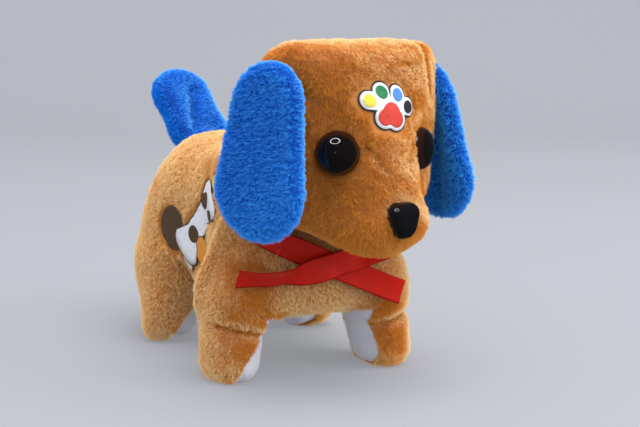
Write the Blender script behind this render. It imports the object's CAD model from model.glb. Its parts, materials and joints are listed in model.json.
"""Looks for the walking plush puppy: sewn plush skins, fur, ribbon, prints, studio and camera.

Shapes are drawn in millimetres round the point on the floor between the puppy's feet, or, for the head,
round the point midway between its eyes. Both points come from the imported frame.
"""
import json
import math

import bmesh
import bpy
import numpy as np
from mathutils import Matrix, Vector


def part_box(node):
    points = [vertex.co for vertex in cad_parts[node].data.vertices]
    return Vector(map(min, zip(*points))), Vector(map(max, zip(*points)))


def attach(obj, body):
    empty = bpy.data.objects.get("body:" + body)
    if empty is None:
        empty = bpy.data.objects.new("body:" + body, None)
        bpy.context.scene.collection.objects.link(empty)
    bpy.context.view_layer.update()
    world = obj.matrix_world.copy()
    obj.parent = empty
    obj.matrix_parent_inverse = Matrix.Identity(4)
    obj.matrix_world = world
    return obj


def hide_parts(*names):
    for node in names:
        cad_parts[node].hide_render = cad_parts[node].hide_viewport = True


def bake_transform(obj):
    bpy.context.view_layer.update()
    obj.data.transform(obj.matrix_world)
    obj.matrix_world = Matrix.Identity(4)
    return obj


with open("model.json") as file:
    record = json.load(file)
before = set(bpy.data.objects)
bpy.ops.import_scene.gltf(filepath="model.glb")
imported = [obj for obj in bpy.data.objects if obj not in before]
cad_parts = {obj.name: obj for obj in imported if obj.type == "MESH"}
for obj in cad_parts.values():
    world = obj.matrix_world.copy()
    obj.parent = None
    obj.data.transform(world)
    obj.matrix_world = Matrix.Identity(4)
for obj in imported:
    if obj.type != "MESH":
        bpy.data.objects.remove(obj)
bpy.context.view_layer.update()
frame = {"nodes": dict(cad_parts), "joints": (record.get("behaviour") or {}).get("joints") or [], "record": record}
MM = 0.001

# ---------------------------------------------------------------- places read from the frame
JOINTS = {joint["name"]: joint for joint in frame["joints"]}
SIDES = {"left": 1, "right": -1}
LEGS = [f"{end}_{side}" for end in ("front", "rear") for side in SIDES]


def sleeve(leg):
    end, side = leg.split("_")
    return f"leg_sleeve_{end}_{side}"


def middle(node):
    low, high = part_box(node)
    return (low + high) / 2


FEET = sum((middle(sleeve(leg)) for leg in LEGS), Vector()) / len(LEGS)
FEET.z = 0
HIP_Y = (middle(sleeve("rear_left")).y - FEET.y) / MM
FOOT_X = (middle(sleeve("front_left")).x - FEET.x) / MM
BODY_FRAME = Matrix.Translation(FEET) @ Matrix.Scale(MM, 4)

# The eyes look outwards and a little up; each one's washer sits on its stem, behind its rim.
EYE_TURN = math.radians(33)
EYE_TILT = math.radians(4)
WASHER_BACK = 6.1
across_head = middle("eye_washer_left") - middle("eye_washer_right")
HEAD_YAW = math.atan2(across_head.y, across_head.x)
EYE_X = across_head.length / MM / 2 + WASHER_BACK * math.sin(EYE_TURN) * math.cos(EYE_TILT)
washers = (middle("eye_washer_left") + middle("eye_washer_right")) / 2
forwards = Vector((math.sin(HEAD_YAW), -math.cos(HEAD_YAW), 0)) * math.cos(EYE_TURN) * math.cos(EYE_TILT)
BROW = washers + (forwards + Vector((0, 0, math.sin(EYE_TILT)))) * WASHER_BACK * MM
HEAD_FRAME = Matrix.Translation(BROW) @ Matrix.Rotation(HEAD_YAW, 4, "Z") @ Matrix.Scale(MM, 4)
NOSE = np.array(HEAD_FRAME.inverted() @ middle("nose"))
EYE_RADIUS = (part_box("eye_left")[1].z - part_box("eye_left")[0].z) / MM / 2


def moved(p, matrix):
    """Many points at once through a matrix."""
    m = np.array(matrix)
    return p @ m[:3, :3].T + m[:3, 3]


# ---------------------------------------------------------------- solid shapes as distance formulas
def length(vectors):
    return np.sqrt((vectors * vectors).sum(-1))


def ellipsoid(p, centre, radii):
    q = p - np.array(centre)
    radii = np.array(radii, float)
    near = length(q / radii)
    return near * (near - 1) / np.maximum(length(q / radii**2), 1e-9)


def rounded_box(p, centre, half, corner):
    q = np.abs(p - np.array(centre)) - (np.array(half) - corner)
    return length(np.maximum(q, 0)) + np.minimum(q.max(-1), 0) - corner


def limb(p, start, end, start_radius, end_radius):
    start, end = np.array(start, float), np.array(end, float)
    along = end - start
    t = np.clip(((p - start) @ along) / (along @ along), 0, 1)
    return length(p - start - t[:, None] * along) - (start_radius + t * (end_radius - start_radius))


def merge(a, b, softness):
    h = np.maximum(softness - np.abs(a - b), 0) / softness
    return np.minimum(a, b) - h * h * softness / 4


def carve(a, b, softness):
    """The part of a that lies outside b's negative side."""
    return -merge(-a, b, softness)


def bump(distance, width):
    """1 where a distance is 0, fading smoothly to 0 a few widths away."""
    return np.exp(-((distance / width) ** 2))


def ramp(value, start, end):
    t = np.clip((value - start) / (end - start), 0, 1)
    return t * t * (3 - 2 * t)


def ripple(p, size, seed):
    """A smooth random wave over the shape, between about -1 and 1."""
    waves = np.random.default_rng(seed)
    total = np.zeros(len(p))
    for _ in range(10):
        direction = waves.normal(size=p.shape[1])
        direction *= waves.uniform(0.6, 1.6) / size / np.linalg.norm(direction)
        total += np.sin(p @ direction * 2 * math.pi + waves.uniform(0, 2 * math.pi))
    return total / 4.5


def mirrored(p):
    """The same place on the left side."""
    q = p.copy()
    q[:, 0] = np.abs(q[:, 0])
    return q


# ---------------------------------------------------------------- the torso and legs
BELLY_Z = 22.6
ARCH_Z = BELLY_Z + 2.2
LEG_OVAL = 0.72  # a leg's width over its length
LEG_SHIFT = 1.4  # the plush legs sit a little to the dog's right of their plates


def torso_distance(p):
    side = mirrored(p)
    chest = rounded_box(side, (0, -30, 53), (34, 23.5, 32), 19)
    barrel = rounded_box(side, (0, 8, 54), (35.5, 50, 33), 24)
    neck = ellipsoid(side, (0, -22, 68), (33, 22, 27))
    rump = ellipsoid(side, (0, 37, 50), (37, 31, 34))
    haunch = ellipsoid(side, (28.5, 43, 36), (12.0, 25, 29))
    shoulder = ellipsoid(side, (26, -32, 30), (12.0, 15, 27))
    shape = merge(chest, barrel, 10)
    shape = merge(shape, neck, 12)
    shape = merge(shape, rump, 12)
    shape = merge(shape, haunch, 7)
    shape = merge(shape, shoulder, 7)
    return carve(shape, p[:, 2] - BELLY_Z, 7)


def leg_distance(p):
    """Four legs, oval in plan: longer from front to back than they are wide."""
    oval = np.array([1, LEG_OVAL, 1])
    side = mirrored(p + np.array([LEG_SHIFT, 0, 0])) * oval
    front = limb(side, (FOOT_X - 3.5, -HIP_Y, 32) * oval, (FOOT_X - 0.5, -HIP_Y - 1.4, 8) * oval, 11.8, 10.4)
    rear = limb(side, (FOOT_X - 2.5, HIP_Y + 4, 34) * oval, (FOOT_X, HIP_Y - 1, 8) * oval, 12.6, 10.7)
    return carve(np.minimum(front, rear), p[:, 2], 1.6)


def body_distance(p):
    shape = merge(torso_distance(p), leg_distance(p), 7)
    x, y, z = mirrored(p).T
    # The chest panel's seam with the flank: a ridge with a valley behind it, and a second, softer pleat.
    panel_seam = y + 24 + 0.25 * (z - 28) + 0.02 * np.maximum(z - 48, 0) ** 2
    on_flank = ramp(x, 20, 30) * ramp(z, 16, 30) * ramp(-z, -88, -70)
    shape -= 1.8 * bump(panel_seam + 3.0, 4.0) * on_flank
    shape += 1.8 * bump(panel_seam - 2.4, 2.4) * on_flank
    shape -= 0.6 * bump(panel_seam - 8.5, 3.2) * on_flank
    # The flank slopes in towards the seam, and the haunch stands out from it with a crease round its front.
    shape += 4.4 * ramp(-y, -26, 18) * ramp(panel_seam, 0, 5) * on_flank
    haunch_edge = 30 * (np.hypot((y - 47) / 30, (z - 29) / 36) - 1)
    shape += 4.4 * bump(haunch_edge, 3.6) * ramp(x, 20, 32) * ramp(-y, -44, -26) * ramp(-z, -44, -33)
    # The creases behind the elbow and across the front of each shin.
    elbow = np.abs(z - 20.5 - 0.22 * (x - FOOT_X)) + np.abs(x - FOOT_X - 1) * 0.14
    shape += 2.6 * bump(elbow, 2.4) * ramp(-y, 34, 44)
    shape += 0.9 * bump(z - 13 - 0.3 * (y - HIP_Y), 2.4) * ramp(y, 40, 50)
    return shape + 0.45 * ripple(p, 26, 3) + 0.2 * ripple(p, 10, 4)


def lining(p):
    """Below 0 on the white cloth: the belly and the inner sides of the legs, seen more at the far side."""
    x, y, z = mirrored(p).T
    left_edge = FOOT_X - 8 - 0.1 * z
    right_edge = FOOT_X + 4.5 - 0.57 * np.minimum(z, 22)
    edge = np.where(p[:, 0] > 0, left_edge, right_edge) + 0.8 * np.sin(z / 4)
    edge += 7 * ramp(p[:, 0], 0, 10) * ramp(y, 0, 10) * ramp(-y, -HIP_Y - 2, -HIP_Y + 9)
    return np.maximum(x - edge, z - ARCH_Z)


DOOR_LOW, DOOR_HIGH = ((corner - FEET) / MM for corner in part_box("battery_door"))


def door_opening(p):
    """Below 0 inside the opening that the belly cloth leaves round the battery door."""
    centre = np.array((DOOR_LOW + DOOR_HIGH) / 2)[:2]
    half = np.array((DOOR_HIGH - DOOR_LOW) / 2)[:2] + 1
    return np.maximum((np.abs(p[:, :2] - centre) - half).max(-1), p[:, 2] - ARCH_Z)


# ---------------------------------------------------------------- the head, round the point between the eyes
# The stuffed head's flats: degrees from straight ahead, degrees of rise, millimetres from the eyes' middle.
EYE_FLAT = EYE_X * math.sin(EYE_TURN) - 1.4
HEAD_FLATS = (
    (0, 7, 6.2),
    (33, -5, EYE_FLAT),
    (52, -3, 21.2),
    (90, 0, 39.6),
    (130, 0, 48.5),
    (180, 0, 43.5),
    (0, 90, 38.4),
    (0, 45, 26),
    (52, 45, 39.5),
    (90, 45, 54),
    (130, 35, 52),
    (180, 45, 46),
    (90, -75, 32.3),
    (90, -45, 38),
    (180, -45, 42),
)
FLAT_SOFTNESS = 2.3


def flats_distance(side):
    """A convex cushion: the soft overlap of half-spaces."""
    heights = []
    for turn, rise, away in HEAD_FLATS:
        turn, rise = math.radians(turn), math.radians(rise)
        flat = np.array([math.sin(turn) * math.cos(rise), -math.cos(turn) * math.cos(rise), math.sin(rise)])
        heights.append(side @ flat - away)
    highest = np.max(heights, 0)
    return highest + FLAT_SOFTNESS * np.log(np.exp((heights - highest) / FLAT_SOFTNESS).sum(0))


def head_distance(p):
    side = mirrored(p)
    x, y, z = side.T
    shape = flats_distance(side)
    snout = limb(p * np.array([0.75, 1, 1]), (0, 1.2, 12), (0, 0.6, -21), 8.3, 12.2)
    chin = ellipsoid(p, (2, 4, -26), (17, 15.5, 8.6))
    shape = merge(shape, snout, 7)
    shape = merge(shape, chin, 6)
    # Sockets round the eyes, and a fold from each one's inner corner.
    socket = length(side - np.array([EYE_X, 0, 0]))
    shape += 1.3 * bump(socket, 9)
    fold = np.abs(x - 7.2 - 0.5 * (z + 1))
    shape += 1.0 * bump(fold, 1.6) * ramp(z, -8, -4) * ramp(-z, -6, -2) * ramp(-y, 0, 5)
    # The near ear's seam pulls a deep fold into the brow; the far one pulls an upright crease.
    near_side = ramp(-p[:, 0], 0, 10)
    pull = length((side - np.array([35, 2, 25])) * np.array([1, 0.8, 0.8]))
    shape += 2.4 * bump(pull, 7)
    crease = z - 20 - 0.55 * (x - 24)
    shape += 2.2 * bump(crease, 2.0) * ramp(x, 19, 29) * ramp(-y, -16, -6) * near_side
    far_crease = p[:, 0] - 24 + 0.16 * (z - 26)
    shape += 1.6 * bump(far_crease, 1.9) * ramp(z, 14, 22) * ramp(-y, -16, -6)
    shape += 0.7 * bump(z - 29 - 0.1 * x, 1.8) * bump(p[:, 0] - 12, 7) * ramp(-y, -12, 0)
    return shape + 0.5 * ripple(p, 30, 11) + 0.25 * ripple(p, 11, 12)


NECK = np.array(BODY_FRAME.inverted() @ Vector(JOINTS["head_nod"]["pos_m"]))
NOD = math.radians(max(JOINTS["head_nod"]["range_deg"]))
HEAD_ROOM = 1.6


def nodding_head(p):
    """The head's distance at its lowest, middle and highest nod, in body millimetres."""
    to_head = HEAD_FRAME.inverted() @ BODY_FRAME
    found = []
    for angle in (-NOD, 0, NOD):
        turn = Matrix.Rotation(-angle, 4, "X")
        back = Matrix.Translation(NECK) @ turn @ Matrix.Translation(-Vector(NECK))
        found.append(head_distance(moved(p, to_head @ back)))
    return np.min(found, 0)


def on_body(p):
    """The body's skin, with the nodding head's room left free."""
    shape = body_distance(p)
    near = (shape < 12) & (p[:, 1] < 0) & (p[:, 2] > 40)
    shape[near] = carve(shape[near], nodding_head(p[near]) - HEAD_ROOM, 4)
    return shape


# ---------------------------------------------------------------- ears, tail, nose
EAR_HALF = 2.5  # half an ear's thickness


def ear_distance(side, inwards, curl, fold):
    """An ear hanging from its seam. x is outwards, y towards the tail, z up."""

    def distance(p):
        x, y, z = p.T
        flat = np.stack([y * -side, z], -1)
        outline = merge(
            limb(flat, (-3.5, -14), (-2.0, -43), 13.5, 17.0),
            limb(flat, (-4.5, -16), (-5.5, -45.5), 11.5, 14.6),
            6,
        )
        hang = curl * ((z + 22) / 40) ** 2 + 2.0 * (y / 20) ** 2 - inwards
        hang += fold * bump(y + 3 + 0.15 * (z + 30), 4.5) * ramp(-z, 8, 26)
        half = EAR_HALF + 0.45 * ripple(p, 24, 21 + side)
        return np.hypot(np.maximum(outline + half, 0), x - hang) - half

    return distance


TAIL_LENGTH = 50


def tail_distance(p):
    """The tail, from its root along y; x is its width and z its thickness."""
    x, y, z = p.T
    flat = np.stack([x, y], -1)
    outline = merge(
        limb(flat, (0, -4), (0, 14), 9, 11),
        limb(flat, (0, 20), (0.5, TAIL_LENGTH - 13), 11.6, 13),
        9,
    )
    crease = 2.0 * bump(x + 4 - 0.35 * (y - 20), 2.6) * ramp(y, 6, 16) * ramp(-y, -42, -34) * ramp(z, -1, 3)
    half = 5.2 - crease * 0.6 + 0.3 * ripple(p, 16, 31)
    return np.hypot(np.maximum(outline + half, 0), z) - half + crease * 0.4


def nose_distance(p):
    """A rounded triangle, narrow below, with a domed front."""
    q = p - (NOSE + np.array([0, -3.0, 0.3]))
    narrow = 1 - 0.5 * ramp(-q[:, 2], -4, 9)
    across = np.stack([narrow, np.ones(len(q)), np.ones(len(q))], -1)
    button = rounded_box(q / across, (0, 0, 0), (6.7, 4.5, 6.5), 4.4)
    stem = limb(q, (0, 0, 0), (0, 8, 0), 2, 2)
    return merge(button, stem, 1)


# ---------------------------------------------------------------- distance formulas to meshes
def slope(distance, p, step=0.02):
    shifts = np.eye(3) * step
    return np.stack([(distance(p + s) - distance(p - s)) / (2 * step) for s in shifts], -1)


def outward(distance, p):
    found = slope(distance, p)
    return found / np.maximum(length(found), 1e-9)[:, None]


def settle(distance, p, rounds=6):
    """Moves points onto the shape's surface."""
    for _ in range(rounds):
        direction = slope(distance, p)
        steepness = np.maximum((direction * direction).sum(-1), 0.04)
        move = -(distance(p) / steepness)[:, None] * direction
        p = p + move * np.minimum(1, 1.5 / np.maximum(length(move), 1e-9))[:, None]
    return p


def surface(distance, low, high, cell):
    """Points and outward-facing quads on the surface where the distance is 0, about one cell apart."""
    axes = [np.arange(a, b + cell, cell) for a, b in zip(low, high)]
    grid = np.stack(np.meshgrid(*axes, indexing="ij"), -1)
    shape = grid.shape[:3]
    inside = distance(grid.reshape(-1, 3)).reshape(shape) < 0
    count = np.zeros([n - 1 for n in shape], int)
    for i, j, k in np.ndindex(2, 2, 2):
        count += inside[i : shape[0] - 1 + i, j : shape[1] - 1 + j, k : shape[2] - 1 + k]
    crossed = (count > 0) & (count < 8)
    number = np.full(count.shape, -1)
    number[crossed] = np.arange(crossed.sum())
    points = grid[:-1, :-1, :-1][crossed] + cell / 2
    quads = []
    for axis in range(3):
        inner = [slice(1, -1)] * 3
        inner[axis] = slice(0, -1)
        ahead = list(inner)
        ahead[axis] = slice(1, None)
        here, there = inside[tuple(inner)], inside[tuple(ahead)]
        at = np.argwhere(here != there)
        start = at + np.array([0 if a == axis else 1 for a in range(3)])
        u, v = np.eye(3, dtype=int)[(axis + 1) % 3], np.eye(3, dtype=int)[(axis + 2) % 3]
        ring = np.stack([number[tuple((start - s).T)] for s in (0 * u, u, u + v, v)], -1)
        leaving = here[tuple(at.T)]
        ring[~leaving] = ring[~leaving][:, ::-1]
        quads.append(ring)
    quads = np.concatenate(quads)
    edges = np.concatenate([quads[:, [i, (i + 1) % 4]] for i in range(4)])
    for _ in range(3):
        total = np.zeros_like(points)
        met = np.zeros(len(points))
        np.add.at(total, edges[:, 0], points[edges[:, 1]])
        np.add.at(met, edges[:, 0], 1)
        points = settle(distance, total / met[:, None], 1)
    return settle(distance, points, 3), quads


def mesh_object(name, points, faces, matrix):
    """A smooth-shaded object whose points, in millimetres, are placed by a matrix."""
    mesh = bpy.data.meshes.new(name)
    mesh.from_pydata([tuple(p) for p in points], [], [tuple(int(i) for i in f) for f in faces])
    mesh.transform(matrix)
    mesh.validate()
    mesh.shade_smooth()
    made = bpy.data.objects.new(name, mesh)
    bpy.context.scene.collection.objects.link(made)
    return made


def cut_along(bm, level):
    """Splits the faces of a bmesh along the line where a level changes sign."""
    bm.verts.ensure_lookup_table()
    values = level(np.array([v.co for v in bm.verts]))
    values[np.abs(values) < 0.02] = 0.02
    value = dict(zip(bm.verts, values))
    for edge in list(bm.edges):
        first, second = edge.verts
        if value[first] * value[second] < 0:
            share = value[first] / (value[first] - value[second])
            _, added = bmesh.utils.edge_split(edge, first, share)
            value[added] = 0
    for face in list(bm.faces):
        on_line = [v for v in face.verts if value[v] == 0]
        if len(on_line) == 2:
            bmesh.utils.face_split(face, *on_line)


def split_skin(points, quads, levels):
    """Cuts a skin along each level's line; gives its points, faces, faces' centres and the levels' signs."""
    bm = bmesh.new()
    for p in points:
        bm.verts.new(p)
    bm.verts.ensure_lookup_table()
    for quad in quads:
        bm.faces.new([bm.verts[i] for i in quad])
    for level in levels:
        cut_along(bm, level)
    bm.verts.index_update()
    bm.verts.ensure_lookup_table()
    corners = np.array([v.co for v in bm.verts])
    faces = [[v.index for v in f.verts] for f in bm.faces]
    centres = np.array([corners[f].mean(0) for f in faces])
    signs = np.stack([level(centres) > 0 for level in levels], -1)
    bm.free()
    return corners, faces, centres, signs


def piece_of(name, points, faces, matrix):
    """An object made of some of a skin's faces."""
    used = sorted({i for f in faces for i in f})
    number = {old: new for new, old in enumerate(used)}
    return mesh_object(name, points[used], [[number[i] for i in f] for f in faces], matrix)


def thicken(piece, thickness, offset=-1):
    """Gives an open sheet its thickness; an offset of -1 is all inwards."""
    shell = piece.modifiers.new("cloth", "SOLIDIFY")
    shell.thickness = thickness * MM
    shell.offset = offset
    return piece


LIT_FROM = np.array([0.35, -0.15, 0.85])  # the side from which the pile's tips catch the light


def pile_shade(distance, p, matrix, least=0.0):
    """0 where the pile shows its deep colour, in folds and on dark sides, to 1 where its tips are lit."""
    facing = outward(distance, p)
    turn = np.array(matrix.to_3x3().normalized())
    lit = least + (1 - least) * ramp(facing @ turn.T @ LIT_FROM, 0.0, 0.7)
    open_air = np.clip(distance(p + 3 * facing) / 3, 0, 1)
    return np.clip(lit - 4 * (0.93 - open_air).clip(0), 0, 1)


def turned(profile, steps=48):
    """A round solid turned about y from (y, radius) pairs that start and end on the axis."""
    angles = np.arange(steps) * 2 * math.pi / steps
    ring = np.stack([np.cos(angles), np.zeros(steps), np.sin(angles)], -1)
    inner = profile[1:-1]
    points = [np.array([[0, profile[0][0], 0]])]
    points += [ring * r + np.array([0, y, 0]) for y, r in inner]
    points += [np.array([[0, profile[-1][0], 0]])]
    faces = []
    for k in range(steps):
        after = (k + 1) % steps
        faces.append((0, 1 + after, 1 + k))
        for i in range(len(inner) - 1):
            a, b = 1 + i * steps, 1 + (i + 1) * steps
            faces.append((a + k, a + after, b + after, b + k))
        last = 1 + (len(inner) - 1) * steps
        faces.append((last + k, last + after, 1 + len(inner) * steps))
    return np.concatenate(points), faces


# ---------------------------------------------------------------- materials
def material(name, color, roughness=0.9, **inputs):
    made = bpy.data.materials.new(name)
    made.use_nodes = True
    shader = made.node_tree.nodes["Principled BSDF"]
    shader.inputs["Base Color"].default_value = (*color, 1)
    shader.inputs["Roughness"].default_value = roughness
    for key, value in inputs.items():
        shader.inputs[key.replace("_", " ")].default_value = value
    return made


def node(tree, kind, **values):
    """Adds a shader node; lower-case values are its settings, the others its inputs."""
    made = tree.nodes.new(kind)
    for key, value in values.items():
        if key[0].islower():
            setattr(made, key, value)
        else:
            made.inputs[key.replace("_", " ")].default_value = value
    return made


def coordinates(tree):
    """The sockets of a place's X and Y in the mesh's UV layer."""
    parts = node(tree, "ShaderNodeSeparateXYZ")
    tree.links.new(node(tree, "ShaderNodeTexCoord").outputs["UV"], parts.inputs[0])
    return parts.outputs


def noise_at(tree, scale, detail=2.0):
    """A noise pattern `scale` waves to the metre; gives its value's socket."""
    place = node(tree, "ShaderNodeTexCoord")
    pattern = node(tree, "ShaderNodeTexNoise", Scale=scale, Detail=detail)
    tree.links.new(place.outputs["Object"], pattern.inputs["Vector"])
    return pattern.outputs["Fac"]


def mix_colors(tree, factor, first, second):
    """A colour between two, which are each a colour or a socket."""
    mixed = node(tree, "ShaderNodeMix", data_type="RGBA")
    tree.links.new(factor, mixed.inputs["Factor"])
    for socket, color in (("A", first), ("B", second)):
        target = [s for s in mixed.inputs if s.name == socket and s.type == "RGBA"][0]
        if isinstance(color, tuple):
            target.default_value = (*color, 1)
        else:
            tree.links.new(color, target)
    return [s for s in mixed.outputs if s.type == "RGBA"][0]


def reach(tree, socket, low, high):
    """The socket's value, stretched so that low gives 0 and high gives 1."""
    mapped = node(tree, "ShaderNodeMapRange")
    mapped.inputs["From Min"].default_value = low
    mapped.inputs["From Max"].default_value = high
    tree.links.new(socket, mapped.inputs["Value"])
    return mapped.outputs["Result"]


def arithmetic(tree, operation, first, second=0.0):
    made = node(tree, "ShaderNodeMath", operation=operation)
    for slot, value in enumerate((first, second)):
        if isinstance(value, (int, float)):
            made.inputs[slot].default_value = value
        else:
            tree.links.new(value, made.inputs[slot])
    return made.outputs[0]


def bump_from(made, height, strength, distance):
    tree = made.node_tree
    bumps = node(tree, "ShaderNodeBump", Strength=strength, Distance=distance)
    tree.links.new(height, bumps.inputs["Height"])
    tree.links.new(bumps.outputs["Normal"], tree.nodes["Principled BSDF"].inputs["Normal"])


def feed(made, name, socket):
    made.node_tree.links.new(socket, made.node_tree.nodes["Principled BSDF"].inputs[name])


def cloth_material(name, light, dark):
    """The knitted backing under the pile, seen where the pile parts."""
    made = material(name, light, 0.95, Specular_IOR_Level=0.1)
    tree = made.node_tree
    feed(made, "Base Color", mix_colors(tree, reach(tree, noise_at(tree, 90, 3), 0.3, 0.7), dark, light))
    bump_from(made, noise_at(tree, 2600, 2), 0.6, 0.0004)
    return made


def fur_material(name, root, deep, lit, pale):
    """Pile, from its roots to its pale tips; `pile_shade` says how much of each place's tips are lit."""
    made = material(name, deep, 0.8, Specular_IOR_Level=0.0)
    tree = made.node_tree
    layer = node(tree, "ShaderNodeSeparateXYZ")
    tree.links.new(node(tree, "ShaderNodeUVMap", uv_map="pile_shade").outputs["UV"], layer.inputs[0])
    shade = layer.outputs["X"]
    strand = node(tree, "ShaderNodeHairInfo")
    patches = arithmetic(tree, "MULTIPLY", reach(tree, noise_at(tree, 60, 3), 0.3, 0.7), 0.3)
    stray = arithmetic(tree, "MULTIPLY", arithmetic(tree, "POWER", strand.outputs["Random"], 3.0), 0.3)
    uneven = arithmetic(tree, "ADD", arithmetic(tree, "SUBTRACT", patches, 0.2), stray)
    nap = mix_colors(tree, reach(tree, arithmetic(tree, "ADD", shade, uneven), 0.0, 1.0), deep, lit)
    grown = mix_colors(tree, reach(tree, strand.outputs["Intercept"], 0.0, 0.7), root, nap)
    tip = arithmetic(tree, "MULTIPLY", reach(tree, strand.outputs["Intercept"], 0.4, 1.0), 0.7)
    ends = arithmetic(tree, "MULTIPLY", tip, arithmetic(tree, "ADD", shade, 0.1))
    feed(made, "Base Color", mix_colors(tree, ends, grown, pale))
    return made


TAN_CLOTH = cloth_material("tan_backing", (0.62, 0.29, 0.09), (0.50, 0.20, 0.05))
TAN_FUR = fur_material(
    "tan_pile",
    root=(0.62, 0.21, 0.017),
    deep=(0.76, 0.31, 0.032),
    lit=(0.96, 0.65, 0.24),
    pale=(0.99, 0.88, 0.60),
)
BLUE_CLOTH = cloth_material("blue_backing", (0.015, 0.12, 0.52), (0.008, 0.07, 0.38))
BLUE_FUR = fur_material(
    "blue_pile",
    root=(0.003, 0.12, 0.62),
    deep=(0.006, 0.28, 0.86),
    lit=(0.03, 0.46, 0.98),
    pale=(0.32, 0.70, 0.98),
)


def white_cloth(name, light, dark, sheen=0.4):
    """Brushed white cloth."""
    made = material(name, light, 0.9, Sheen_Weight=sheen)
    tree = made.node_tree
    feed(made, "Base Color", mix_colors(tree, noise_at(tree, 120, 3), dark, light))
    bump_from(made, noise_at(tree, 1800, 3), 0.5, 0.0004)
    return made


WHITE_LINING = white_cloth("white_lining", (0.60, 0.60, 0.64), (0.50, 0.50, 0.55))
WADDING = white_cloth("wadding", (0.86, 0.86, 0.85), (0.72, 0.72, 0.72), 0.8)


def glossy_bead(name, heart, rim, radius):
    """Clear-coated plastic, dark at its heart and lighter towards its rim."""
    made = material(name, heart, 0.3, Specular_IOR_Level=0.0, Coat_Weight=1.0, Coat_Roughness=0.02)
    tree = made.node_tree
    out = reach(tree, coordinates(tree)["X"], radius, 1.0)
    feed(made, "Base Color", mix_colors(tree, out, heart, rim))
    bump_from(made, noise_at(tree, 300, 1), 0.02, 0.0002)
    return made


EYE_BLACK = glossy_bead("eye_bead", (0.004, 0.003, 0.003), (0.03, 0.010, 0.004), 0.72)


def nose_material():
    black = (0.005, 0.005, 0.006)
    made = material("nose_bead", black, 0.3, Specular_IOR_Level=0.0, Coat_Weight=0.8, Coat_Roughness=0.06)
    tree = made.node_tree
    feed(made, "Roughness", reach(tree, noise_at(tree, 700, 3), -1.4, 4.0))
    bump_from(made, noise_at(tree, 500, 2), 0.05, 0.0002)
    return made


NOSE_BLACK = nose_material()


def satin_material():
    """Red satin: fine cross threads and a row of stitches along each edge. UV: x along, y across."""
    made = material("red_satin", (0.50, 0.012, 0.004), 0.34, Specular_IOR_Level=0.14, Anisotropic=0.5)
    tree = made.node_tree
    weave = coordinates(tree)
    from_middle = arithmetic(tree, "ABSOLUTE", arithmetic(tree, "SUBTRACT", weave["Y"], 0.5))
    edge = reach(tree, from_middle, 0.44, 0.465)
    threads = arithmetic(tree, "SINE", arithmetic(tree, "MULTIPLY", weave["X"], 2 * math.pi / 0.45))
    stitches = arithmetic(tree, "SINE", arithmetic(tree, "MULTIPLY", weave["X"], 2 * math.pi / 0.9))
    dots = arithmetic(tree, "MULTIPLY", edge, reach(tree, stitches, 0.0, 0.6))
    wear = mix_colors(tree, noise_at(tree, 140, 3), (0.40, 0.008, 0.003), (0.52, 0.014, 0.006))
    feed(made, "Base Color", mix_colors(tree, dots, wear, (0.16, 0.004, 0.003)))
    height = arithmetic(tree, "ADD", arithmetic(tree, "MULTIPLY", threads, 0.12), noise_at(tree, 1400, 2))
    bump_from(made, arithmetic(tree, "SUBTRACT", height, dots), 0.35, 0.00016)
    return made


RED_SATIN = satin_material()


def print_ink(name, color):
    """Heat-transfer film: the pile's grain shows through a thin matt ink."""
    made = material(f"ink_{name}", color, 0.42)
    tree = made.node_tree
    darker = tuple(c * 0.82 for c in color)
    feed(made, "Base Color", mix_colors(tree, reach(tree, noise_at(tree, 900, 3), 0.35, 0.7), darker, color))
    bump_from(made, noise_at(tree, 1300, 3), 0.5, 0.00025)
    return made


INKS = {
    "white": (0.78, 0.79, 0.82),
    "outline": (0.035, 0.03, 0.035),
    "red": (0.66, 0.055, 0.035),
    "yellow": (0.80, 0.60, 0.05),
    "green": (0.02, 0.20, 0.07),
    "blue": (0.07, 0.24, 0.66),
    "brown": (0.10, 0.055, 0.028),
    "orange": (0.80, 0.30, 0.03),
}
INKS = {name: print_ink(name, color) for name, color in INKS.items()}


def moulded(name, color, roughness, grain=900, strength=0.15, metallic=0.0):
    """Moulded or drawn surfaces: slow tone changes, fine grain and uneven gloss."""
    made = material(name, color, roughness, Metallic=metallic)
    tree = made.node_tree
    worn = tuple(c * 0.86 for c in color)
    feed(made, "Base Color", mix_colors(tree, reach(tree, noise_at(tree, 70, 4), 0.35, 0.65), worn, color))
    rubbed = noise_at(tree, 260, 3)
    feed(made, "Roughness", reach(tree, rubbed, 0.5 - 1.2 * roughness, 0.5 + 2.2 * (1 - roughness)))
    bump_from(made, noise_at(tree, grain, 2), strength, 0.0001)
    return made


FINISHES = {
    "abs_white": moulded("abs_white", (0.78, 0.76, 0.70), 0.42),
    "gear_acetal": moulded("gear_acetal", (0.86, 0.85, 0.80), 0.35, 1500, 0.1),
    "steel": moulded("steel", (0.60, 0.61, 0.63), 0.28, 2500, 0.1, 1.0),
    "cell_jacket": moulded("cell_jacket", (0.06, 0.10, 0.14), 0.3, 1200, 0.05),
    "board_green": moulded("board_green", (0.03, 0.20, 0.07), 0.45, 1800, 0.2),
    "dark_plastic": moulded("dark_plastic", (0.03, 0.03, 0.033), 0.5),
    "washer_white": moulded("washer_white", (0.72, 0.72, 0.69), 0.5),
}

# ---------------------------------------------------------------- fur
PILE = 1.7  # the pile's length
GUIDES_PER_MM2 = 1
PARENT_SHARE = 14  # strands grown round each guide strand


def lay_uv(piece, name, values):
    """Keeps two numbers at each vertex as a UV layer."""
    layer = piece.data.uv_layers.new(name=name)
    for loop in piece.data.loops:
        layer.data[loop.index].uv = values[loop.vertex_index]


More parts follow.
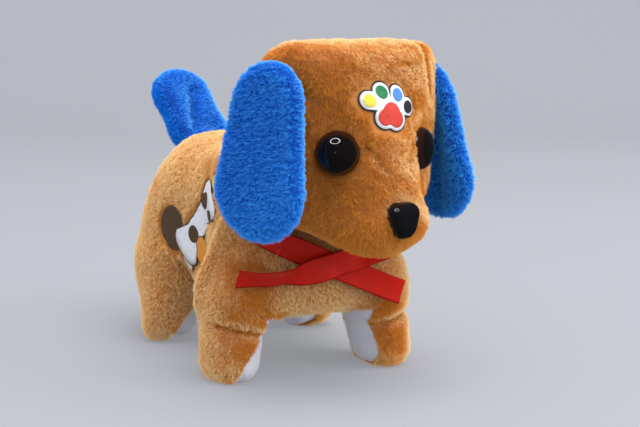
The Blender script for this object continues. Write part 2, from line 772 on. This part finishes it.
def fur(piece, pile, shade, masked=None):
    """Grows pile, shaded at each vertex and combed down. `masked` marks the bare vertices."""
    lay_uv(piece, "pile_shade", np.stack([shade, 0 * shade], -1))
    piece.data.materials.append(pile)
    area = sum(polygon.area for polygon in piece.data.polygons) / MM**2
    grown = piece.modifiers.new("pile", "PARTICLE_SYSTEM").particle_system
    grown.seed = 11
    settings = grown.settings
    settings.type = "HAIR"
    settings.count = max(50, int(area * GUIDES_PER_MM2))
    settings.hair_step = 3
    settings.display_step = 2
    settings.render_step = 2
    settings.hair_length = PILE * MM
    velocity = PILE * MM / 4  # Blender grows a strand to four times its starting velocity
    settings.object_align_factor = Vector((0, 0, -0.35)) * velocity
    settings.factor_random = 0.3 * velocity
    settings.emit_from = "FACE"
    settings.use_modifier_stack = False
    settings.use_emit_random = True
    settings.distribution = "RAND"
    settings.child_type = "INTERPOLATED"
    settings.rendered_child_count = PARENT_SHARE
    settings.child_length = 1
    settings.clump_factor = 0.0
    settings.roughness_1 = 0.05 * MM
    settings.roughness_1_size = 1.0 * MM
    settings.roughness_endpoint = 0.15 * MM
    settings.roughness_2 = 0.1 * MM
    settings.roughness_2_size = 1.5 * MM
    settings.child_radius = 1.2 * MM
    settings.root_radius = 0.11
    settings.tip_radius = 0.04
    settings.radius_scale = MM
    settings.material = len(piece.data.materials)
    if masked is not None:
        group = piece.vertex_groups.new(name="pile_density")
        for share in (0.0, 1.0):
            chosen = np.flatnonzero(masked == (share == 0.0))
            group.add([int(i) for i in chosen], share, "REPLACE")
        grown.vertex_group_density = group.name
    return piece


# ---------------------------------------------------------------- prints
class Blot:
    """A flat print shape: the union of round spots (u, v, radius), seen from its centre as r(angle)."""

    def __init__(self, ink, spots, centre=(0, 0)):
        self.ink = ink
        self.spots = np.array(spots, float)
        self.centre = np.array(centre, float)

    def radius(self, angle):
        ray = np.stack([np.cos(angle), np.sin(angle)], -1)
        found = np.zeros(len(angle))
        for u, v, r in self.spots:
            ahead = ray @ (np.array([u, v]) - self.centre)
            away = r * r - (u - self.centre[0]) ** 2 - (v - self.centre[1]) ** 2 + ahead**2
            found = np.maximum(found, np.where(away > 0, ahead + np.sqrt(np.maximum(away, 0)), 0))
        return found

    def grown(self, ink, margin):
        spots = self.spots + np.array([0, 0, margin])
        return Blot(ink, spots, self.centre)

    def covers(self, flat, margin):
        away = flat - self.centre
        return length(away) < self.radius(np.arctan2(away[:, 1], away[:, 0])) + margin


class Print:
    """Blots stacked on a skin. They are drawn on a plane and pushed onto the skin along its normal."""

    def __init__(self, origin, across, up, blots):
        self.origin, self.across, self.up = (np.array(v, float) for v in (origin, across, up))
        self.out = np.cross(self.across, self.up)
        self.blots = blots

    def mask(self, p, margin=1.7):
        """True for the skin's points under the print."""
        away = p - self.origin
        flat = np.stack([away @ self.across, away @ self.up], -1)
        covered = np.any([blot.covers(flat, margin) for blot in self.blots], 0)
        return covered & (np.abs(away @ self.out) < 14)

    def build(self, name, distance, matrix, lift):
        rings, steps = 7, 72
        angles = np.arange(steps) * 2 * math.pi / steps
        points, faces, inks = [], [], []
        for layer, blot in enumerate(self.blots):
            base = sum(len(p) for p in points)
            edge = np.stack([np.cos(angles), np.sin(angles)], -1) * blot.radius(angles)[:, None]
            flat = [blot.centre[None, :]] + [blot.centre + edge * (r + 1) / rings for r in range(rings)]
            flat = np.concatenate(flat)
            p = self.origin + flat[:, :1] * self.across + flat[:, 1:] * self.up + 6 * self.out
            height = lift + 0.07 * layer
            for _ in range(14):
                steep = np.maximum(slope(distance, p) @ self.out, 0.35)
                p = p - np.clip((distance(p) - height) / steep, -2, 2)[:, None] * self.out
            points.append(p)
            for k in range(steps):
                after = (k + 1) % steps
                faces.append((base, base + 1 + k, base + 1 + after))
                for r in range(rings - 1):
                    a, b = base + 1 + r * steps, base + 1 + (r + 1) * steps
                    faces.append((a + k, b + k, b + after, a + after))
            inks += [layer] * (steps * rings)
        made = mesh_object(name, np.concatenate(points), faces, matrix)
        for blot in self.blots:
            made.data.materials.append(INKS[blot.ink])
        made.data.polygons.foreach_set("material_index", inks)
        return thicken(made, 0.2)


def ring_of(count, radius, spread, size):
    """Round spots on an arc over the centre."""
    turns = [(i - (count - 1) / 2) * spread for i in range(count)]
    return [(radius * math.sin(a), radius * math.cos(a), size) for a in turns]


def paw_print():
    """A plain paw: a three-lobed pad and four coloured toes on a white ground."""
    pad = Blot("red", [(-2.3, -3.6, 3.0), (2.6, -3.6, 3.1), (0.2, -2.0, 4.0)], (0, -2.6))
    spots = [(1.2 * u, v - 2.4, size) for u, v, size in ring_of(4, 8.0, 0.72, 2.25)]
    toes = [Blot(ink, [spot], spot[:2]) for ink, spot in zip(("yellow", "green", "blue", "outline"), spots)]
    spots = [tuple(spot) for blot in (pad, *toes) for spot in blot.spots]
    ground = Blot("white", spots).grown("white", 1.1)
    turn = math.radians(-9)
    across = np.array([math.cos(turn), 0, math.sin(turn)])
    up = np.array([-math.sin(turn), 0, math.cos(turn)])
    patch = np.array(HEAD_FRAME.inverted() @ middle("paw_patch"))
    blots = [ground.grown("outline", 0.55), ground, pad, *toes]
    return Print(patch + np.array([-2.0, 0, 0.2]), across, up, blots)


def bone_spots(centre, half, knob, shaft, turn):
    """A dog's bone: two knobs at each end of a shaft."""
    centre, along = np.array(centre), np.array([math.cos(turn), math.sin(turn)])
    across = np.array([-math.sin(turn), math.cos(turn)])
    spots = [(*(centre + along * share * half), shaft) for share in np.linspace(-1, 1, 9)]
    for end in (-1, 1):
        for side in (-1, 1):
            spots.append((*(centre + along * end * half + across * knob * 0.8 * side), knob))
    return spots


def flank_print():
    """A spotted bone with a brown ball, an orange ball and a small yellow moon."""
    turn = math.radians(44)
    bone = Blot("white", bone_spots((7, 1), 15, 5.0, 5.2, turn), (7, 1))
    ball = Blot("brown", [(-14.5, -2, 8), (-13, -8, 5)], (-14, -4))
    patches = ((2, -4, 3.6), (13, 11, 3.4), (19, 6, 2.2))
    spots = [Blot("brown", [patch], patch[:2]) for patch in patches]
    orange = Blot("orange", [(9, -12, 4.6), (8, -8, 3.5)], (9, -11))
    moon = Blot("yellow", [(24, 20, 2.4), (28, 21.5, 1.6)], (25, 20.5))
    low_ball = Blot("white", [(-5, -17, 3.2)], (-5, -17))
    blots = [low_ball.grown("brown", 0.5), low_ball, ball, bone.grown("brown", 0.8), bone, *spots]
    blots += [orange.grown("brown", 0.5), orange, moon]
    place = np.array(BODY_FRAME.inverted() @ middle("side_print"))
    slant = math.radians(25)  # the flank's slope towards the chest
    across = (math.sin(slant), -math.cos(slant), 0)
    return Print(place + np.array([0, 3, -3]), across, (0, 0, 1), blots)


# ---------------------------------------------------------------- body skins
LEG_CUT_Z = 21.0
CELL = 1.3
LIFT = 0.45  # prints lie this far above the skin, on flattened pile
# How far the pile's pale side shows where no light catches it: the body's lies down, the head's stands up.
COAT_SHEEN = 0.75
HEAD_SHEEN = -0.1
EAR_SHEEN = 0.3


def above_legs(p):
    return p[:, 2] - LEG_CUT_Z


def body_skins():
    """The torso, the belly, and each leg's outer skin and lining, cut from one surface."""
    points, quads = surface(on_body, (-50, -62, -2), (50, 76, 104), CELL)
    points, faces, centres, signs = split_skin(points, quads, (above_legs, lining, door_opening))
    above, outside, solid = signs.T
    made = {}
    groups = {("torso_skin", "belly_skin"): above & solid}
    for leg in LEGS:
        end, side = leg.split("_")
        here = ~above & ((centres[:, 1] > 0) == (end == "rear")) & (centres[:, 0] * SIDES[side] > 0)
        groups[(f"{leg}_leg_skin", f"{leg}_leg_lining")] = here
    for (outer, inner), here in groups.items():
        for name, chosen in ((outer, here & outside), (inner, here & ~outside)):
            picked = [f for f, take in zip(faces, chosen) if take]
            made[name] = piece_of(name, points, picked, BODY_FRAME)
    return made


def in_frame(piece, matrix):
    """A piece's points in a frame's millimetres."""
    return moved(np.array([v.co for v in piece.data.vertices]), matrix.inverted())


def wear(piece, body, node_name, slot):
    """Puts a piece on a body, in its CAD node's place."""
    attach(piece, body)
    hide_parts(node_name)


def shade_of(piece, distance, matrix, least=0.0):
    return pile_shade(distance, in_frame(piece, matrix), matrix, least)


def build_body():
    skins = body_skins()
    print_on_flank = flank_print()
    for name, piece in skins.items():
        white = name.endswith(("lining", "belly_skin"))
        piece.data.materials.append(WHITE_LINING if white else TAN_CLOTH)
    for leg in LEGS:
        for name in (f"{leg}_leg_skin", f"{leg}_leg_lining"):
            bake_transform(skins[name])
        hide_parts(sleeve(leg))
        skin = skins[f"{leg}_leg_skin"]
        fur(skin, TAN_FUR, shade_of(skin, on_body, BODY_FRAME, COAT_SHEEN))
    torso = skins["torso_skin"]
    bare = print_on_flank.mask(in_frame(torso, BODY_FRAME))
    fur(torso, TAN_FUR, shade_of(torso, on_body, BODY_FRAME, COAT_SHEEN), masked=bare)
    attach(torso, "chassis")
    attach(skins["belly_skin"], "chassis")
    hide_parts("torso_plush")
    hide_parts("belly_panel")
    for piece in skins.values():
        thicken(piece, 0.9)
    film = print_on_flank.build("flank_print", on_body, BODY_FRAME, LIFT)
    wear(film, "chassis", "side_print", "print_vinyl")


# ---------------------------------------------------------------- head
def build_head():
    points, quads = surface(head_distance, (-46, -24, -44), (46, 52, 46), CELL)
    head = mesh_object("head_skin", points, quads, HEAD_FRAME)
    head.data.materials.append(TAN_CLOTH)
    on_brow = paw_print()
    bare = on_brow.mask(in_frame(head, HEAD_FRAME))
    fur(head, TAN_FUR, shade_of(head, head_distance, HEAD_FRAME, HEAD_SHEEN), masked=bare)
    wear(head, "head", "head_plush", "tan_plush")
    film = on_brow.build("paw_print", head_distance, HEAD_FRAME, LIFT)
    wear(film, "head", "paw_patch", "print_vinyl")


def build_nose():
    centre = NOSE * np.array([0, 1, 1])
    points, quads = surface(nose_distance, centre - 12, centre + 12, 0.6)
    made = mesh_object("nose_button", points, quads, HEAD_FRAME)
    made.data.materials.append(NOSE_BLACK)
    wear(made, "head", "nose", "nose_black")


def build_eye(side_name, side):
    """A domed bead with a rim and the stem that its washer grips."""
    height, stem, stem_end = 0.7 * EYE_RADIUS, 1.9, 13
    dome = [(-height * math.cos(a), EYE_RADIUS * math.sin(a)) for a in np.linspace(0, math.pi / 2, 22)]
    back = [(0.6, EYE_RADIUS * 0.985), (0.9, EYE_RADIUS * 0.9), (0.9, stem), (stem_end, stem), (stem_end, 0)]
    points, faces = turned(dome + back)
    facing = Matrix.Rotation(side * EYE_TURN, 4, "Z") @ Matrix.Rotation(-EYE_TILT, 4, "X")
    matrix = HEAD_FRAME @ Matrix.Translation((side * EYE_X, 0, 0)) @ facing
    made = mesh_object(f"{side_name}_eye_bead", points, faces, matrix)
    made.data.materials.append(EYE_BLACK)
    outness = np.hypot(points[:, 0], points[:, 2]) / EYE_RADIUS
    lay_uv(made, "from_heart", np.stack([outness, 0 * outness], -1))
    wear(made, "head", f"eye_{side_name}", "eye_black")


# ---------------------------------------------------------------- ears and tail
def build_ear(side_name, side, inwards, curl, fold):
    """An ear flap; its hinge gives the seam, and its CAD solid the way it hangs."""
    hinge = JOINTS[f"{side_name}_ear_flap"]
    seam = Vector(hinge["pos_m"])
    back = Vector(hinge["axis"]) * -side
    hang = middle(f"ear_{side_name}") - seam
    up = -(hang - back * hang.dot(back)).normalized()
    out = back.cross(up).normalized()
    out = out if out.x * side > 0 else -out
    matrix = Matrix.Translation(seam) @ Matrix((out, back, up)).transposed().to_4x4() @ Matrix.Scale(MM, 4)
    shape = ear_distance(side, inwards, curl, fold)
    points, quads = surface(shape, (-14, -28, -70), (16, 28, 8), CELL)
    if matrix.determinant() < 0:
        quads = quads[:, ::-1]
    flap = mesh_object(f"{side_name}_ear_skin", points, quads, matrix)
    flap.data.materials.append(BLUE_CLOTH)
    wear(flap, f"{side_name}_ear", f"ear_{side_name}", "blue_plush")
    fur(flap, BLUE_FUR, shade_of(flap, shape, matrix, EAR_SHEEN))


TAIL_RISE = math.radians(48)
TAIL_ROLL = math.radians(-4)


def build_tail():
    wag = Vector(JOINTS["tail_wag"]["pos_m"])
    centre = middle("tail_plush")
    lean = math.atan2(wag.x - centre.x, centre.y - wag.y) - math.tan(-TAIL_ROLL) / 2
    raised = Matrix.Rotation(TAIL_ROLL, 4, "Y") @ Matrix.Rotation(TAIL_RISE, 4, "X")
    facing = Matrix.Rotation(lean, 4, "Z") @ raised
    matrix = Matrix.Translation(centre) @ facing @ Matrix.Scale(MM, 4)
    matrix = matrix @ Matrix.Translation((2.6, -TAIL_LENGTH / 2, 0))
    points, quads = surface(tail_distance, (-20, -20, -12), (20, TAIL_LENGTH + 4, 12), CELL)
    made = mesh_object("tail_skin", points, quads, matrix)
    made.data.materials.append(BLUE_CLOTH)
    wear(made, "tail", "tail_plush", "blue_plush")
    fur(made, BLUE_FUR, shade_of(made, tail_distance, matrix))


# ---------------------------------------------------------------- ribbon
RIBBON_WIDTH = 9.5
RIBBON_LAY = 2.3  # how far the ribbon lies above the skin, on the pile
# The ribbon's run: place, 1 where it lies on the coat and 0 where it hangs free, and its twist in degrees.
TAIL_RUN = [
    ((29.6, -57.5, 31.6), 0.0, 0),
    ((20, -58, 35.6), 0.4, 0),
    ((10, -57, 40.2), 1.0, 0),
    ((-0.5, -57, 44.8), 1.0, 0),
    ((-13, -56, 50.5), 1.0, -8),
    ((-24, -53, 56), 1.0, -14),
]
LOOP_RUN = [
    ((-33, -47, 63.5), 1.0, -8),
    ((-35.5, -44, 72), 1.0, 0),
    ((-33, -37, 82), 1.0, 0),
    ((-25, -28, 90), 1.0, 0),
]
OVER_RUN = [
    ((25, -54, 50), 1.0, 52),
    ((16, -56.5, 47.6), 0.8, 30),
    ((6, -58.5, 45.6), 0.5, 8),
    ((-5, -60.0, 43.4), 0.4, 0),
    ((-20, -60.5, 41.8), 0.2, -44),
    ((-30, -60, 41.8), 0.0, -64),
    ((-39, -58.5, 42.6), 0.0, -70),
]


def smooth_path(stops, count):
    """Points spread along a Catmull-Rom curve through rows of numbers."""
    rows = np.vstack([2 * stops[0] - stops[1], stops, 2 * stops[-1] - stops[-2]])
    place = np.linspace(0, len(stops) - 1 - 1e-9, count)
    i = place.astype(int)
    t = (place - i)[:, None]
    a, b, c, d = rows[i], rows[i + 1], rows[i + 2], rows[i + 3]
    return 0.5 * (2 * b + (c - a) * t + (2 * a - 5 * b + 4 * c - d) * t**2 + (3 * b - a - 3 * c + d) * t**3)


def build_ribbon():
    far = [((-x, y, z), hold, -twist) for (x, y, z), hold, twist in reversed(LOOP_RUN)]
    run = [*TAIL_RUN, *LOOP_RUN, ((0, -23, 92), 1.0, 0), *far, *OVER_RUN]
    stops = np.array([[*place, hold, twist] for place, hold, twist in run])
    path = smooth_path(stops, 220)
    place, hold, twist = path[:, :3], np.clip(path[:, 3:4], 0, 1), np.radians(path[:, 4])
    normal = outward(on_body, place)
    laid = settle(on_body, place) + normal * RIBBON_LAY
    centre = place * (1 - hold) + laid * hold
    ahead = np.gradient(centre, axis=0)
    ahead /= length(ahead)[:, None]
    normal -= (normal * ahead).sum(-1)[:, None] * ahead
    normal /= length(normal)[:, None]
    width = np.cross(normal, ahead)
    across = width * np.cos(twist)[:, None] + normal * np.sin(twist)[:, None]
    face = np.cross(ahead, across)
    steps = np.linspace(-1, 1, 11)
    run_length = np.concatenate([[0], np.cumsum(length(np.diff(centre, axis=0)))])
    wave = 0.35 * np.sin(run_length / 5.0)[:, None, None] * steps[None, :, None]
    cup = 0.5 * (steps**2 - 0.4)[None, :, None] + wave
    sheet = centre[:, None] + across[:, None] * steps[None, :, None] * RIBBON_WIDTH / 2 + face[:, None] * cup
    rows, columns = sheet.shape[:2]
    faces = [
        (i * columns + j, i * columns + j + 1, (i + 1) * columns + j + 1, (i + 1) * columns + j)
        for i in range(rows - 1)
        for j in range(columns - 1)
    ]
    made = mesh_object("satin_ribbon", sheet.reshape(-1, 3), faces, BODY_FRAME)
    weave = np.stack(np.meshgrid(run_length, (steps + 1) / 2, indexing="ij"), -1)
    lay_uv(made, "weave", weave.reshape(-1, 2))
    made.data.materials.append(RED_SATIN)
    thicken(made, 0.35, 0)
    wear(made, "chassis", "ribbon", "red_satin")


# ---------------------------------------------------------------- stuffing
def build_stuffing():
    """Loose wadding in the crown behind the eyes, and along the back above the housing."""
    lever = [(corner - FEET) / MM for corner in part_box("neck_lever")]
    lever_middle = np.array((lever[0] + lever[1]) / 2)
    lever_half = np.array((lever[1] - lever[0]) / 2) + 1.5
    head_to_body = BODY_FRAME.inverted() @ HEAD_FRAME
    behind_washers = 17.5

    def in_crown(p):
        shape = np.maximum(head_distance(p) + 4.6, behind_washers - p[:, 1]) + 0.5 * ripple(p, 12, 41)
        return carve(shape, rounded_box(moved(p, head_to_body), lever_middle, lever_half, 3), 3)

    low, high = ((corner - FEET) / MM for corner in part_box("back_fill"))

    def in_back(p):
        room = rounded_box(p, (low + high) / 2, np.array((high - low) / 2), 4)
        return carve(np.maximum(on_body(p) + 3.6, room) + 0.4 * ripple(p, 12, 42), nodding_head(p) - 4, 3)

    pieces = (
        ("head_stuffing", in_crown, HEAD_FRAME, (-44, 10, -42), (44, 50, 42), "head", "head_fill"),
        ("back_stuffing", in_back, BODY_FRAME, (-44, -30, 70), (44, 46, 94), "chassis", "back_fill"),
    )
    for name, distance, matrix, start, end, body, node_name in pieces:
        points, quads = surface(distance, start, end, 2.0)
        made = mesh_object(name, points, quads, matrix)
        made.data.materials.append(WADDING)
        wear(made, body, node_name, "stuffing")


def finish_mechanism():
    """Gives each carried-over CAD node its finish."""
    for part in frame["record"]["subparts"]:
        if part["material_slot"] in FINISHES:
            mesh = frame["nodes"][part["node"]].data
            mesh.materials.clear()
            mesh.materials.append(FINISHES[part["material_slot"]])


# ---------------------------------------------------------------- studio and camera
CAMERA_AZIMUTH = math.radians(-25.1)
CAMERA_ELEVATION = math.radians(8)
CAMERA_DISTANCE = 551
WORLD_STRENGTH = 1.45  # on the coat and the cloth
WORLD_MIRRORED = 0.06  # in the eyes, the nose and the satin
WORLD_SEEN = 0.5  # behind the puppy, like the paper
PAPER = (0.185, 0.19, 0.205)
PAPER_GLOW = 0.225  # the table is lit from below as well


def sweep():
    """A pale floor that curves up, far behind, into a backdrop."""
    far, radius, top = 1.1, 0.9, 2.6
    profile = [(-2.5, 0.0), (far, 0.0)]
    turns = np.linspace(0.1, math.pi / 2, 14)
    profile += [(far + radius * math.sin(a), radius * (1 - math.cos(a))) for a in turns]
    profile.append((far + radius, top))
    points = [(x / MM, y / MM, z / MM) for y, z in profile for x in (-4.0, 4.0)]
    faces = [(2 * i, 2 * i + 1, 2 * i + 3, 2 * i + 2) for i in range(len(profile) - 1)]
    made = mesh_object("sweep", points, faces, Matrix.Rotation(CAMERA_AZIMUTH, 4, "Z") @ Matrix.Scale(MM, 4))
    glow = {"Emission_Color": (0.93, 0.95, 1, 1), "Emission_Strength": PAPER_GLOW}
    paper = material("backdrop_paper", PAPER, 0.9, Specular_IOR_Level=0.0, **glow)
    tree = paper.node_tree
    shade = tuple(0.95 * c for c in PAPER)
    feed(paper, "Base Color", mix_colors(tree, noise_at(tree, 3, 2), shade, PAPER))
    made.visible_glossy = False
    made.data.materials.append(paper)


def lamp(name, place, size, power, color=(1, 1, 1)):
    """A softbox that lights the puppy but doesn't show in its eyes."""
    light = bpy.data.lights.new(name, "AREA")
    light.size = size
    light.energy = power
    light.color = color
    holder = bpy.data.objects.new(name, light)
    bpy.context.scene.collection.objects.link(holder)
    holder.location = place
    aim = FEET + Vector((0, 0, 0.06)) - Vector(place)
    holder.rotation_euler = aim.to_track_quat("-Z", "Y").to_euler()
    holder.visible_glossy = False


def reflection(name, points, faces, brightness):
    """A bright shape that only shows mirrored in the eyes, the nose and the satin."""
    shown = mesh_object(name, points, faces, Matrix.Identity(4))
    glow = material(name, (0, 0, 0), 1.0, Emission_Color=(1, 1, 1, 1), Emission_Strength=brightness)
    shown.data.materials.append(glow)
    shown.visible_diffuse = False
    shown.visible_camera = False


def ring_lamp(centre, radius, half_width):
    """A round tube lamp that hangs over the puppy and faces down at it."""
    steps = 64
    turns = np.arange(steps) * 2 * math.pi / steps
    rim = np.stack([np.cos(turns), np.sin(turns), 0 * turns], -1)
    points = np.concatenate([np.array(centre) + rim * (radius + side * half_width) for side in (-1, 1)])
    faces = [(i, (i + 1) % steps, (i + 1) % steps + steps, i + steps) for i in range(steps)]
    reflection("ring_lamp", points, faces, 28)


def glint_lamp(place, radius):
    """A small round lamp by the camera."""
    turns = np.linspace(0, math.pi, 9)
    points, faces = turned([(-radius * math.cos(a), radius * math.sin(a)) for a in turns])
    reflection("glint_lamp", points + np.array(place), faces, 30)


def studio():
    sweep()
    world = bpy.data.worlds.new("studio")
    world.use_nodes = True
    tree = world.node_tree
    sky = tree.nodes["Background"]
    sky.inputs["Color"].default_value = (0.90, 0.93, 1.0, 1)
    rays = node(tree, "ShaderNodeLightPath")
    strength = WORLD_STRENGTH
    for ray, seen in (("Is Glossy Ray", WORLD_MIRRORED), ("Is Camera Ray", WORLD_SEEN)):
        drop = arithmetic(tree, "MULTIPLY", rays.outputs[ray], WORLD_STRENGTH - seen)
        strength = arithmetic(tree, "SUBTRACT", strength, drop)
    tree.links.new(strength, sky.inputs["Strength"])
    bpy.context.scene.world = world
    lamp("top_softbox", (0.22, -0.30, 1.5), 1.2, 24, (1.0, 0.98, 0.95))
    lamp("side_softbox", (0.9, -0.7, 0.5), 0.6, 6.0)
    over_camera = FEET + Vector((-0.26, -0.42, 0.62))
    ring_lamp(over_camera, 0.20, 0.014)
    glint_lamp(FEET + Vector((-0.30, -0.56, 0.17)), 0.008)


def camera():
    a, e = CAMERA_AZIMUTH, CAMERA_ELEVATION
    back = Vector((math.sin(a) * math.cos(e), -math.cos(a) * math.cos(e), math.sin(e)))
    right = Vector((math.cos(a), math.sin(a), 0))
    up = back.cross(right)
    aim = FEET + (Vector((0, 0, 60)) + right * 19.55 - up * 3.2) * MM
    lens = bpy.data.cameras.new("camera")
    lens.angle = math.radians(27)
    lens.clip_start = 0.01
    holder = bpy.data.objects.new("camera", lens)
    bpy.context.scene.collection.objects.link(holder)
    holder.location = aim + back * CAMERA_DISTANCE * MM
    holder.rotation_euler = Matrix((right, up, back)).transposed().to_euler()
    bpy.context.scene.camera = holder


# ---------------------------------------------------------------- the whole puppy
build_body()
build_head()
build_nose()
for side_name, side in SIDES.items():
    build_eye(side_name, side)
build_ear("left", 1, 4.2, 1.8, 2.5)
build_ear("right", -1, 1.2, -0.5, 0.0)
build_tail()
build_ribbon()
build_stuffing()
finish_mechanism()
studio()
camera()
bpy.context.scene.view_settings.view_transform = "Standard"
